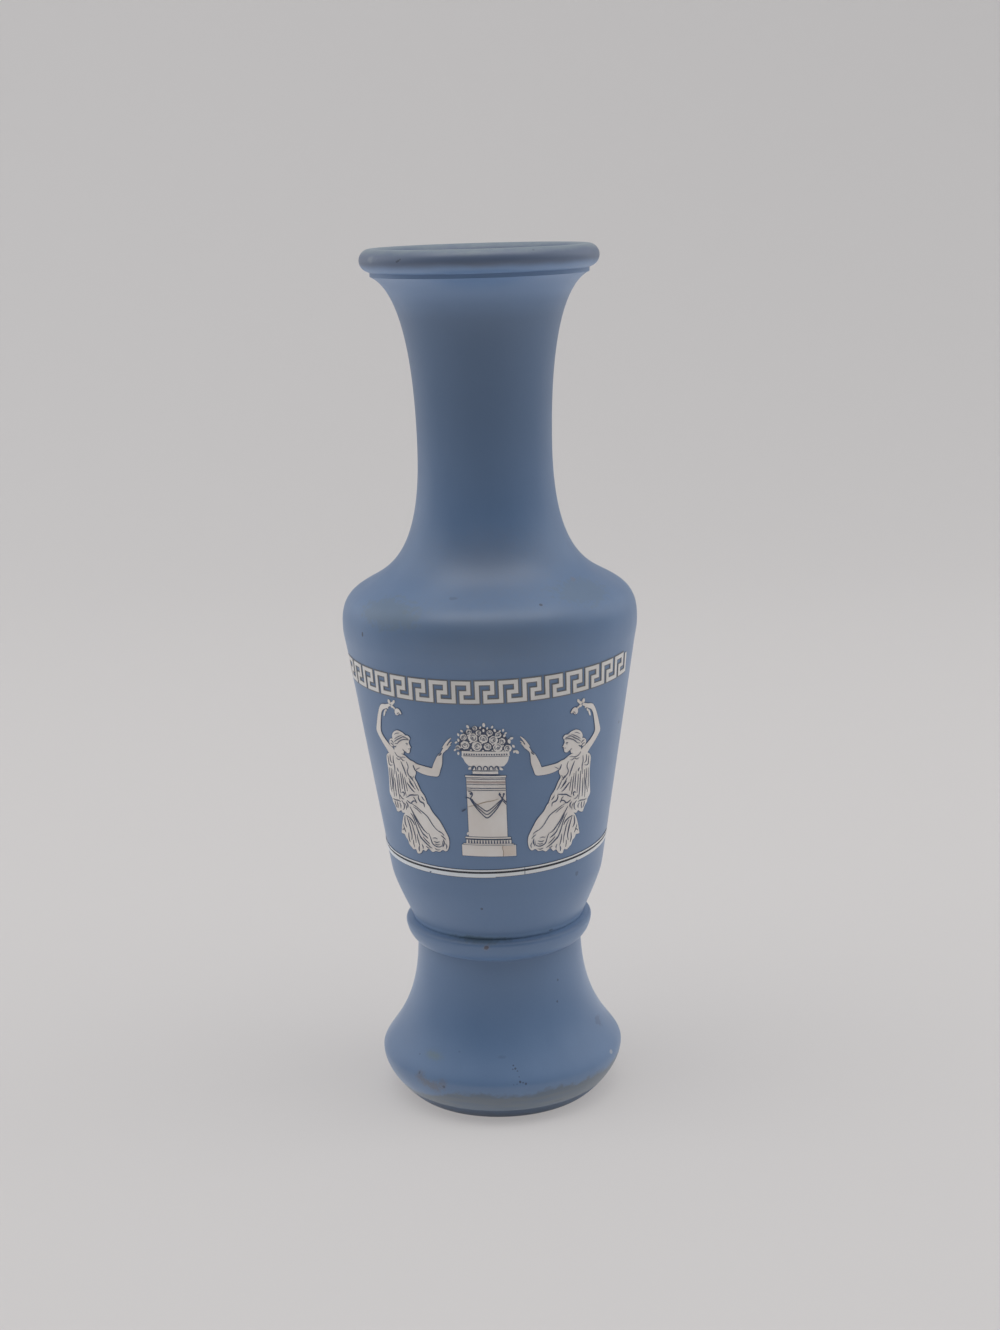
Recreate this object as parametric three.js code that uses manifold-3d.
// Footed bud vase: a hollow moulded glass body with a printed classical frieze on its front.
// Millimetres, +Z up, origin at the centre of the contact ring. The print faces -Y.

import * as THREE from "three";
import { mergeVertices } from "three/addons/utils/BufferGeometryUtils.js";
import Module from "manifold-3d";

// Height of the whole vase. The neck takes up what the other levels leave of it.
const VASE_HEIGHT = 200.0;

// Foot: a flat contact ring, a round heel and a flare that rises to the stem.
const CONTACT_RING_RADIUS = 22.1;
const CONTACT_RING_WIDTH = 3.4;
const FOOT_RADIUS = 29.0;
const HEEL_HEIGHT = 9.2;
const STEM_RADIUS = 19.7;
const FLARE_RISE = 26.4;
const FLARE_HEEL_HANDLE = 4.4;
const FLARE_STEM_HANDLE = 17.6;
const UNDERSIDE_RECESS = 2.4;

// Collar between stem and body: a half-round bead with a groove above it.
const BEAD_PROJECTION = 2.5;
const BEAD_LOWER_HEIGHT = 6.0;
const BEAD_UPPER_HEIGHT = 3.2;
const GROOVE_DEPTH = 1.0;

// Body: a short curve out of the groove, a straight taper and a full shoulder.
const BODY_FOOT_RADIUS = 25.2;
const BODY_CURVE_RISE = 11.4;
const TAPER_RISE = 53.7;
const SHOULDER_RADIUS = 34.2;
const SHOULDER_RUN_IN = 0.7;
const SHOULDER_RISE = 5.7;

// Neck: one S-curve down from the shoulder, then a flare up to the lip.
const NECK_RADIUS = 15.4;
const NECK_SHOULDER_HANDLE = 15.0;
const NECK_HANDLE = 38.0;
const MOUTH_FLARE_RISE = 38.9;
const MOUTH_NECK_HANDLE = 24.0;
const MOUTH_FLARE_DRAW = 5.6;
const MOUTH_FLARE_DROP = 2.5;

// Lip: a narrow upright collar at the top of the flare, then a full round that stands proud of it.
const LIP_COLLAR_RADIUS = 24.6;
const LIP_COLLAR_HEIGHT = 1.0;
const LIP_TUCK = 0.3;
const LIP_RADIUS = 26.9;
const LIP_HEIGHT = 5.1;

// Glass thickness and the hollow inside.
const WALL = 2.6;
const FLOOR_THICKNESS = 6.0;
const FLOOR_CORNER = 7.0;

// Applied print: a thin layer just clear of the glass.
const PRINT_THICKNESS = 0.3;
const PRINT_CLEARANCE = 0.15;
const PRINT_TURN = THREE.MathUtils.degToRad(-3.4);
const PRINT_TILT = 0.0145;
const PRINT_BOW = 0.0005;

// Greek key band, drawn as one stroke.
const KEY_COUNT = 16;
const KEY_PITCH = 5.22;
const KEY_HEIGHT = 4.27;
const KEY_STROKE = 0.88;
const KEY_HOOK_REACH = 0.64;
const KEY_HOOK_DROP = 0.47;
const KEY_HOOK_RETURN = 0.34;
const KEY_BAND_ABOVE_BODY_CURVE = 47.3;
const KEY_BAND_SHIFT = -1.11;

// Ground lines under the figures.
const GROUND_HALF_WIDTH = 38.6;
const GROUND_COLUMNS = 26;
const GROUND_LINE_ABOVE_BODY_CURVE = 4.55;
const LOWER_LINE_HEIGHT = 0.8;
const LINE_GAP = 0.55;
const UPPER_LINE_HEIGHT = 0.35;

// Pedestal and bowl, measured up from the top of the ground lines.
const PEDESTAL_TILT = -0.0205;
const PEDESTAL_SHIFT = -0.2;
const PEDESTAL_ABOVE_LINES = 3.5;
const PLINTH_WIDTH = 12.3;
const PLINTH_HEIGHT = 2.6;
const MOULDING_WIDTH = 10.5;
const MOULDING_HEIGHT = 2.0;
const SHAFT_WIDTH = 8.7;
const SHAFT_HEIGHT = 15.4;
const PEDESTAL_BOWL_GAP = 0.25;
const BOWL_FOOT_WIDTH = 5.8;
const BOWL_FOOT_HEIGHT = 1.8;
const BOWL_RIM_WIDTH = 10.9;
const BOWL_HEIGHT = 3.3;
const BOWL_RIM_HEIGHT = 0.8;
const BOUQUET_WIDTH = 13.4;
const BOUQUET_HEIGHT = 6.6;
const BOUQUET_LOBES = 11;
const BOUQUET_LOBE_DEPTH = 0.55;

// Kneeling figure, facing the pedestal. Points are millimetres from the pedestal's centre line
// and above the ground lines, and run once round the outline.
const REACHING_ARM_TOP = [
  [-7.5, 32.6], [-8.3, 32.1], [-9.0, 31.4], [-9.6, 30.4], [-10.5, 28.6], [-11.3, 27.7], [-12.2, 25.9],
  [-12.8, 24.8], [-14.8, 24.9], [-16.7, 25.2], [-18.2, 25.8], [-19.4, 26.6],
];
const HEAD = [
  [-20.4, 27.3], [-20.2, 27.8], [-19.2, 27.6], [-18.6, 27.9], [-18.4, 28.8], [-18.1, 29.1], [-18.6, 30.1],
  [-18.3, 31.2], [-18.9, 31.9], [-19.6, 31.9], [-20.6, 32.5], [-21.9, 32.8], [-23.1, 32.2], [-23.7, 31.2],
  [-23.8, 30.4], [-24.5, 30.2], [-24.9, 29.6], [-24.9, 29.0],
];
const RAISED_ARM_INSIDE = [
  [-25.4, 29.0], [-26.7, 30.0], [-27.7, 31.2], [-27.9, 32.2], [-27.6, 33.9], [-27.1, 35.9], [-26.6, 36.9],
];
const FLOWER_AND_HAND = [
  [-25.2, 37.6], [-24.2, 38.1], [-22.9, 38.1], [-22.2, 37.8], [-22.1, 37.0], [-21.6, 36.6], [-20.9, 37.0],
  [-20.3, 36.9], [-20.6, 37.8], [-21.3, 38.2], [-22.3, 38.4], [-22.1, 39.9], [-22.8, 39.3], [-23.8, 40.0],
  [-24.1, 39.0], [-25.3, 38.6], [-26.3, 38.5], [-27.0, 38.1],
];
const RAISED_ARM_OUTSIDE = [
  [-27.5, 37.5], [-28.4, 35.7], [-29.3, 33.3], [-29.8, 31.6], [-29.3, 30.5], [-27.7, 28.8], [-26.5, 27.6],
];
const BACK = [
  [-26.2, 26.5], [-26.6, 25.2], [-26.5, 22.6], [-26.7, 19.2], [-26.9, 16.2], [-26.0, 14.7], [-25.3, 13.6],
  [-24.5, 12.1], [-23.3, 12.4], [-22.2, 12.0],
];
const SKIRT = [
  [-22.5, 10.5], [-23.1, 8.7], [-23.4, 6.9], [-22.3, 6.4], [-21.3, 5.2], [-20.3, 3.8], [-18.9, 3.4],
  [-18.3, 2.6], [-17.4, 2.8], [-16.6, 3.8], [-15.0, 4.3], [-13.9, 3.7], [-12.0, 4.0], [-10.4, 4.3],
  [-9.6, 5.3], [-9.5, 7.2], [-10.4, 9.6], [-11.6, 11.8], [-13.2, 13.7], [-14.6, 15.7],
];
const FRONT = [[-15.2, 17.5], [-16.1, 18.7], [-17.0, 20.6], [-17.6, 21.8], [-17.2, 22.9], [-17.3, 23.7]];
const REACHING_ARM_UNDER = [
  [-15.5, 23.1], [-13.6, 22.8], [-11.9, 22.8], [-11.2, 23.1], [-10.7, 24.4], [-10.2, 26.0], [-9.9, 28.1],
  [-9.1, 29.2], [-8.3, 29.9], [-7.6, 30.7], [-7.3, 31.5],
];
const FIGURE_OUTLINE = [
  ...REACHING_ARM_TOP, ...HEAD, ...RAISED_ARM_INSIDE, ...FLOWER_AND_HAND, ...RAISED_ARM_OUTSIDE, ...BACK,
  ...SKIRT, ...FRONT, ...REACHING_ARM_UNDER,
];

// The right figure is the left one turned over. Its print is a little narrower, and it leans and climbs.
const RIGHT_FIGURE_WIDTH_RATIO = 0.976;
const RIGHT_FIGURE_LEAN_RATIO = 0.03;
const RIGHT_FIGURE_SHIFT = -0.661;
const RIGHT_FIGURE_CLIMB_RATIO = 0.0616;
const RIGHT_FIGURE_HEIGHT_RATIO = 0.995;
const RIGHT_FIGURE_RISE = 0.631;

const TURN_SEGMENTS = 48;
const CURVE_STEPS = {
  heel: 5, flare: 8, bead: 4, groove: 2, body: 4, shoulder: 2, neck: 12, mouth: 7, lip: 3, mouthEdge: 2,
  floor: 4,
};

const GLASS_BLUE = 0x60799b;
const PRINT_CREAM = 0xcbc5bd;

const wasm = await Module();
wasm.setup();

// Heights of the levels where one section of the profile ends and the next starts.
const stemTop = HEEL_HEIGHT + FLARE_RISE;
const beadWidest = stemTop + BEAD_LOWER_HEIGHT;
const grooveHeight = beadWidest + BEAD_UPPER_HEIGHT;
const bodyCurveTop = grooveHeight + BODY_CURVE_RISE;
const taperTop = bodyCurveTop + TAPER_RISE;
const shoulderWidest = taperTop + SHOULDER_RISE;
const lipBase = VASE_HEIGHT - LIP_HEIGHT;
const flareTop = lipBase - LIP_COLLAR_HEIGHT;
const neckWaist = flareTop - MOUTH_FLARE_RISE;

const beadRadius = STEM_RADIUS + BEAD_PROJECTION;
const grooveRadius = beadRadius - GROOVE_DEPTH;
const taperTopRadius = SHOULDER_RADIUS - SHOULDER_RUN_IN;
const taperSlope = (taperTopRadius - BODY_FOOT_RADIUS) / TAPER_RISE;

const at = (radius, height) => new THREE.Vector2(radius, height);

/** Points of a cubic curve from start to end, without its first point. */
function curve(start, startHandle, endHandle, end, steps) {
  return new THREE.CubicBezierCurve(start, startHandle, endHandle, end).getPoints(steps).slice(1);
}

/** Points of a quarter ellipse that leaves start level and arrives at end upright, or the reverse. */
function quarterRound(start, end, startsLevel, steps) {
  const round = 0.5523;
  const span = end.clone().sub(start);
  const across = at(span.x * round, 0);
  const upward = at(0, span.y * round);
  const startHandle = start.clone().add(startsLevel ? across : upward);
  const endHandle = end.clone().sub(startsLevel ? upward : across);
  return curve(start, startHandle, endHandle, end, steps);
}

/** Heel, flare and stem, from the contact ring up to the underside of the bead. */
function footOutline() {
  const ring = at(CONTACT_RING_RADIUS, 0);
  const heel = at(FOOT_RADIUS, HEEL_HEIGHT);
  const stem = at(STEM_RADIUS, stemTop);
  return [
    ring,
    ...quarterRound(ring, heel, true, CURVE_STEPS.heel),
    ...curve(heel, at(FOOT_RADIUS, HEEL_HEIGHT + FLARE_HEEL_HANDLE),
      at(STEM_RADIUS, stemTop - FLARE_STEM_HANDLE), stem, CURVE_STEPS.flare),
  ];
}

/** Half-round bead and the groove that parts it from the body. */
function collarOutline() {
  const stem = at(STEM_RADIUS, stemTop);
  const widest = at(beadRadius, beadWidest);
  const groove = at(grooveRadius, grooveHeight);
  return [
    ...quarterRound(stem, widest, true, CURVE_STEPS.bead),
    ...quarterRound(widest, groove, false, CURVE_STEPS.groove),
  ];
}

/** Lower body curve, straight taper, shoulder and the S-curve into the neck. */
function bodyOutline() {
  const groove = at(grooveRadius, grooveHeight);
  const curveTop = at(BODY_FOOT_RADIUS, bodyCurveTop);
  const third = BODY_CURVE_RISE / 3;
  const taperEnd = at(taperTopRadius, taperTop);
  const widest = at(SHOULDER_RADIUS, shoulderWidest);
  const waist = at(NECK_RADIUS, neckWaist);
  const shoulderHandle = SHOULDER_RISE / 2;
  return [
    ...curve(groove, at(grooveRadius + third * 0.6, grooveHeight + third),
      at(BODY_FOOT_RADIUS - third * taperSlope, bodyCurveTop - third), curveTop, CURVE_STEPS.body),
    taperEnd,
    ...curve(taperEnd, at(taperTopRadius + shoulderHandle * taperSlope, taperTop + shoulderHandle),
      at(SHOULDER_RADIUS, shoulderWidest - shoulderHandle), widest, CURVE_STEPS.shoulder),
    ...curve(widest, at(SHOULDER_RADIUS, shoulderWidest + NECK_SHOULDER_HANDLE),
      at(NECK_RADIUS, neckWaist - NECK_HANDLE), waist, CURVE_STEPS.neck),
  ];
}

/** Flare from the neck's waist up to the collar under the lip. */
function mouthOutline() {
  const waist = at(NECK_RADIUS, neckWaist);
  const top = at(LIP_COLLAR_RADIUS, flareTop);
  return curve(waist, at(NECK_RADIUS, neckWaist + MOUTH_NECK_HANDLE),
    at(LIP_COLLAR_RADIUS - MOUTH_FLARE_DRAW, flareTop - MOUTH_FLARE_DROP), top, CURVE_STEPS.mouth);
}

/** Collar, then the lip's round over its crown and down to the inner edge of the mouth. */
function lipOutline() {
  const half = LIP_HEIGHT / 2;
  const tuck = at(LIP_COLLAR_RADIUS + LIP_TUCK, lipBase);
  const widest = at(LIP_RADIUS, lipBase + half);
  const crown = at(LIP_RADIUS - half, VASE_HEIGHT);
  const inner = at(crown.x - half, widest.y);
  return [
    at(LIP_COLLAR_RADIUS, lipBase),
    tuck,
    ...quarterRound(tuck, widest, true, CURVE_STEPS.lip),
    ...quarterRound(widest, crown, false, CURVE_STEPS.lip),
    ...quarterRound(crown, inner, true, CURVE_STEPS.mouthEdge),
  ];
}

/** The same points moved inwards by the glass thickness, square to the outline. */
function inset(points, distance) {
  return points.slice(1, -1).map((point, index) => {
    const along = points[index + 2].clone().sub(points[index]).normalize();
    return at(point.x - along.y * distance, point.y + along.x * distance);
  });
}

/** Hollow of the vase, from the mouth down to the axis at the floor. */
function hollowOutline(upperOutline) {
  const wall = inset(upperOutline, WALL).reverse();
  const bodyFoot = at(BODY_FOOT_RADIUS - WALL, bodyCurveTop);
  const stemInside = at(STEM_RADIUS - WALL, stemTop);
  const floor = UNDERSIDE_RECESS + FLOOR_THICKNESS;
  const corner = at(STEM_RADIUS - WALL, floor + FLOOR_CORNER);
  const middle = (bodyFoot.y - stemInside.y) / 2;
  return [
    ...wall,
    bodyFoot,
    ...curve(bodyFoot, at(bodyFoot.x - middle * taperSlope, bodyFoot.y - middle),
      at(stemInside.x, stemInside.y + middle), stemInside, CURVE_STEPS.body),
    corner,
    ...quarterRound(corner, at(corner.x - FLOOR_CORNER, floor), false, CURVE_STEPS.floor),
    at(0, floor),
  ];
}

/** The whole vase as one closed turning about the axis. */
function vaseGeometry() {
  const body = bodyOutline();
  const mouth = mouthOutline();
  const aboveBodyCurve = [...body.filter((point) => point.y >= bodyCurveTop), ...mouth];
  const ringInner = CONTACT_RING_RADIUS - CONTACT_RING_WIDTH;
  const profile = [
    at(0, UNDERSIDE_RECESS),
    at(ringInner - UNDERSIDE_RECESS, UNDERSIDE_RECESS),
    at(ringInner, 0),
    ...footOutline(),
    ...collarOutline(),
    ...body,
    ...mouth,
    ...lipOutline(),
    ...hollowOutline(aboveBodyCurve),
  ];
  return new THREE.LatheGeometry(profile, TURN_SEGMENTS).rotateX(Math.PI / 2);
}

/** Radius of the glass at a height on the straight taper. */
function taperRadius(height) {
  return BODY_FOOT_RADIUS + (height - bodyCurveTop) * taperSlope;
}

/** Wraps a flat geometry (x along the wall, y up, z outwards) round the taper. */
function wrap(geometry, bow) {
  const position = geometry.attributes.position;
  for (let index = 0; index < position.count; index += 1) {
    const along = position.getX(index);
    const height = position.getY(index) + PRINT_TILT * along + bow * along * along;
    const radius = taperRadius(height);
    const angle = along / radius + PRINT_TURN;
    const reach = radius + PRINT_CLEARANCE + position.getZ(index);
    position.setXYZ(index, reach * Math.sin(angle), -reach * Math.cos(angle), height);
  }
  return geometry;
}

/** Greek key as one stroke of even width, with mitred corners. */
function keyShape() {
  const path = [];
  for (let key = 0; key < KEY_COUNT; key += 1) {
    const turns = [[0, 0], [0, 1], [KEY_HOOK_REACH, 1], [KEY_HOOK_REACH, KEY_HOOK_DROP],
      [KEY_HOOK_RETURN, KEY_HOOK_DROP], [KEY_HOOK_RETURN, 0]];
    turns.forEach(([across, up]) => path.push(at((key + across) * KEY_PITCH, up * KEY_HEIGHT)));
  }
  path.push(at(KEY_COUNT * KEY_PITCH, 0), at(KEY_COUNT * KEY_PITCH, KEY_HEIGHT));
  const half = KEY_STROKE / 2;
  const side = (index, sign) => {
    const here = path[index];
    const before = here.clone().sub(path[Math.max(index - 1, 0)]).normalize();
    const after = path[Math.min(index + 1, path.length - 1)].clone().sub(here).normalize();
    const square = before.length() === 0 || after.length() === 0;
    const sum = before.clone().add(after);
    const offset = at(-sum.y, sum.x).multiplyScalar(sign * half);
    return here.clone().add(offset).add(square ? sum.multiplyScalar(index === 0 ? -half : half) : at(0, 0));
  };
  const indices = path.map((_, index) => index);
  const left = indices.map((index) => side(index, 1));
  const right = indices.reverse().map((index) => side(index, -1));
  return new THREE.Shape([...left, ...right]);
}

/** Greek key band under the shoulder. */
function keyBandGeometry() {
  const flat = new THREE.ExtrudeGeometry(keyShape(), { depth: PRINT_THICKNESS, bevelEnabled: false });
  const start = KEY_BAND_SHIFT - (KEY_COUNT * KEY_PITCH) / 2;
  flat.translate(start, bodyCurveTop + KEY_BAND_ABOVE_BODY_CURVE, 0);
  return wrap(flat, PRINT_BOW);
}

/** One ground line, as a strip with even columns. */
function groundLineGeometry(bottom, height) {
  const strip = new THREE.BoxGeometry(2 * GROUND_HALF_WIDTH, height, PRINT_THICKNESS, GROUND_COLUMNS, 1, 1);
  strip.translate(0, bottom + height / 2, PRINT_THICKNESS / 2);
  return wrap(strip, PRINT_BOW);
}

/** A three.js geometry as a solid that can be cut. */
function toSolid(geometry) {
  const bare = geometry.clone();
  bare.deleteAttribute("normal");
  bare.deleteAttribute("uv");
  const merged = mergeVertices(bare, 1e-4);
  return new wasm.Manifold(new wasm.Mesh({
    numProp: 3,
    vertProperties: new Float32Array(merged.attributes.position.array),
    triVerts: new Uint32Array(merged.index.array),
  }));
}

/** A cut solid as a three.js geometry. */
function toGeometry(solid) {
  const mesh = solid.getMesh();
  const geometry = new THREE.BufferGeometry();
  geometry.setAttribute("position", new THREE.BufferAttribute(new Float32Array(mesh.vertProperties), 3));
  geometry.setIndex(new THREE.BufferAttribute(new Uint32Array(mesh.triVerts), 1));
  geometry.computeVertexNormals();
  return geometry;
}

/** Thin layer that lies round the taper, out of which the pictures are cut. */
function printLayer() {
  const low = bodyCurveTop;
  const high = taperTop;
  const inner = PRINT_CLEARANCE;
  const outer = PRINT_CLEARANCE + PRINT_THICKNESS;
  const ring = [
    at(taperRadius(low) + inner, low), at(taperRadius(low) + outer, low),
    at(taperRadius(high) + outer, high), at(taperRadius(high) + inner, high),
    at(taperRadius(low) + inner, low),
  ];
  return toSolid(new THREE.LatheGeometry(ring, TURN_SEGMENTS).rotateX(Math.PI / 2));
}

/** A flat picture, in millimetres along the wall and above the ground lines, laid on the layer. */
function pictureGeometry(layer, points, tilt) {
  const outline = points.map(([along, up]) => {
    const height = groundTop + up + tilt * along;
    const reach = taperRadius(height) + PRINT_CLEARANCE;
    return at(reach * Math.sin(along / reach + PRINT_TURN), height);
  });
  const settings = { depth: SHOULDER_RADIUS * 2, bevelEnabled: false };
  const prism = new THREE.ExtrudeGeometry(new THREE.Shape(outline), settings);
  prism.rotateX(Math.PI / 2);
  return toGeometry(layer.intersect(toSolid(prism)));
}

/** The same points on the other side of the pedestal's centre line, run the same way round. */
function mirrored(points) {
  return points.map(([along, up]) => [-along, up]).reverse();
}

/** The left figure's points turned over, with the width, lean and climb of the right print. */
function rightFigurePoints() {
  return mirrored(FIGURE_OUTLINE).map(([along, up]) => [
    along * RIGHT_FIGURE_WIDTH_RATIO + up * RIGHT_FIGURE_LEAN_RATIO + RIGHT_FIGURE_SHIFT,
    up * RIGHT_FIGURE_HEIGHT_RATIO - along * RIGHT_FIGURE_CLIMB_RATIO + RIGHT_FIGURE_RISE,
  ]);
}

/** The same points moved along the wall. */
function shifted(points, distance) {
  return points.map(([along, up]) => [along + distance, up]);
}

/** Plinth, moulding and shaft. */
function pedestalPoints() {
  const plinthTop = PEDESTAL_ABOVE_LINES + PLINTH_HEIGHT;
  const mouldingTop = plinthTop + MOULDING_HEIGHT;
  const right = [
    [PLINTH_WIDTH / 2, PEDESTAL_ABOVE_LINES], [PLINTH_WIDTH / 2, plinthTop],
    [MOULDING_WIDTH / 2, plinthTop], [SHAFT_WIDTH / 2, mouldingTop],
    [SHAFT_WIDTH / 2, mouldingTop + SHAFT_HEIGHT],
  ];
  return [...right, ...mirrored(right)];
}

/** Bowl on its foot, heaped with flowers whose edge runs in round lobes. */
function bowlPoints() {
  const foot = PEDESTAL_ABOVE_LINES + PLINTH_HEIGHT + MOULDING_HEIGHT + SHAFT_HEIGHT + PEDESTAL_BOWL_GAP;
  const rim = foot + BOWL_FOOT_HEIGHT + BOWL_HEIGHT;
  const bouquet = [];
  const steps = BOUQUET_LOBES * 4;
  for (let step = 0; step <= steps; step += 1) {
    const angle = (Math.PI * step) / steps;
    const lobe = BOUQUET_LOBE_DEPTH * Math.abs(Math.sin(angle * BOUQUET_LOBES));
    bouquet.push([
      (BOUQUET_WIDTH / 2 - BOUQUET_LOBE_DEPTH + lobe) * Math.cos(angle),
      rim + (BOUQUET_HEIGHT - BOUQUET_LOBE_DEPTH + lobe) * Math.sin(angle),
    ]);
  }
  const right = [
    [BOWL_FOOT_WIDTH / 2, foot], [BOWL_FOOT_WIDTH / 2, foot + BOWL_FOOT_HEIGHT],
    [(BOWL_RIM_WIDTH - BOWL_RIM_HEIGHT) / 2, rim - BOWL_RIM_HEIGHT],
    [BOWL_RIM_WIDTH / 2, rim - BOWL_RIM_HEIGHT / 2],
  ];
  return [...right, ...bouquet, ...mirrored(right)];
}

const lowerLineBottom = bodyCurveTop + GROUND_LINE_ABOVE_BODY_CURVE;
const upperLineBottom = lowerLineBottom + LOWER_LINE_HEIGHT + LINE_GAP;
const groundTop = upperLineBottom + UPPER_LINE_HEIGHT;

/** A named piece with its own finish. */
function piece(name, geometry, color, roughness) {
  const material = new THREE.MeshStandardMaterial({ color, roughness, metalness: 0 });
  const mesh = new THREE.Mesh(geometry, material);
  mesh.name = name;
  return mesh;
}

const layer = printLayer();

const group = new THREE.Group();
group.add(
  piece("glass_body", vaseGeometry(), GLASS_BLUE, 0.45),
  piece("print_key_band", keyBandGeometry(), PRINT_CREAM, 0.6),
  piece("print_figure_left", pictureGeometry(layer, FIGURE_OUTLINE, PRINT_TILT), PRINT_CREAM, 0.6),
  piece("print_figure_right", pictureGeometry(layer, rightFigurePoints(), PRINT_TILT), PRINT_CREAM, 0.6),
  piece("print_pedestal", pictureGeometry(layer, shifted(pedestalPoints(), PEDESTAL_SHIFT), PEDESTAL_TILT),
    PRINT_CREAM, 0.6),
  piece("print_flower_bowl", pictureGeometry(layer, shifted(bowlPoints(), PEDESTAL_SHIFT), PEDESTAL_TILT),
    PRINT_CREAM, 0.6),
  piece("print_ground_line_upper", groundLineGeometry(upperLineBottom, UPPER_LINE_HEIGHT), PRINT_CREAM, 0.6),
  piece("print_ground_line_lower", groundLineGeometry(lowerLineBottom, LOWER_LINE_HEIGHT), PRINT_CREAM, 0.6),
);

export default group;
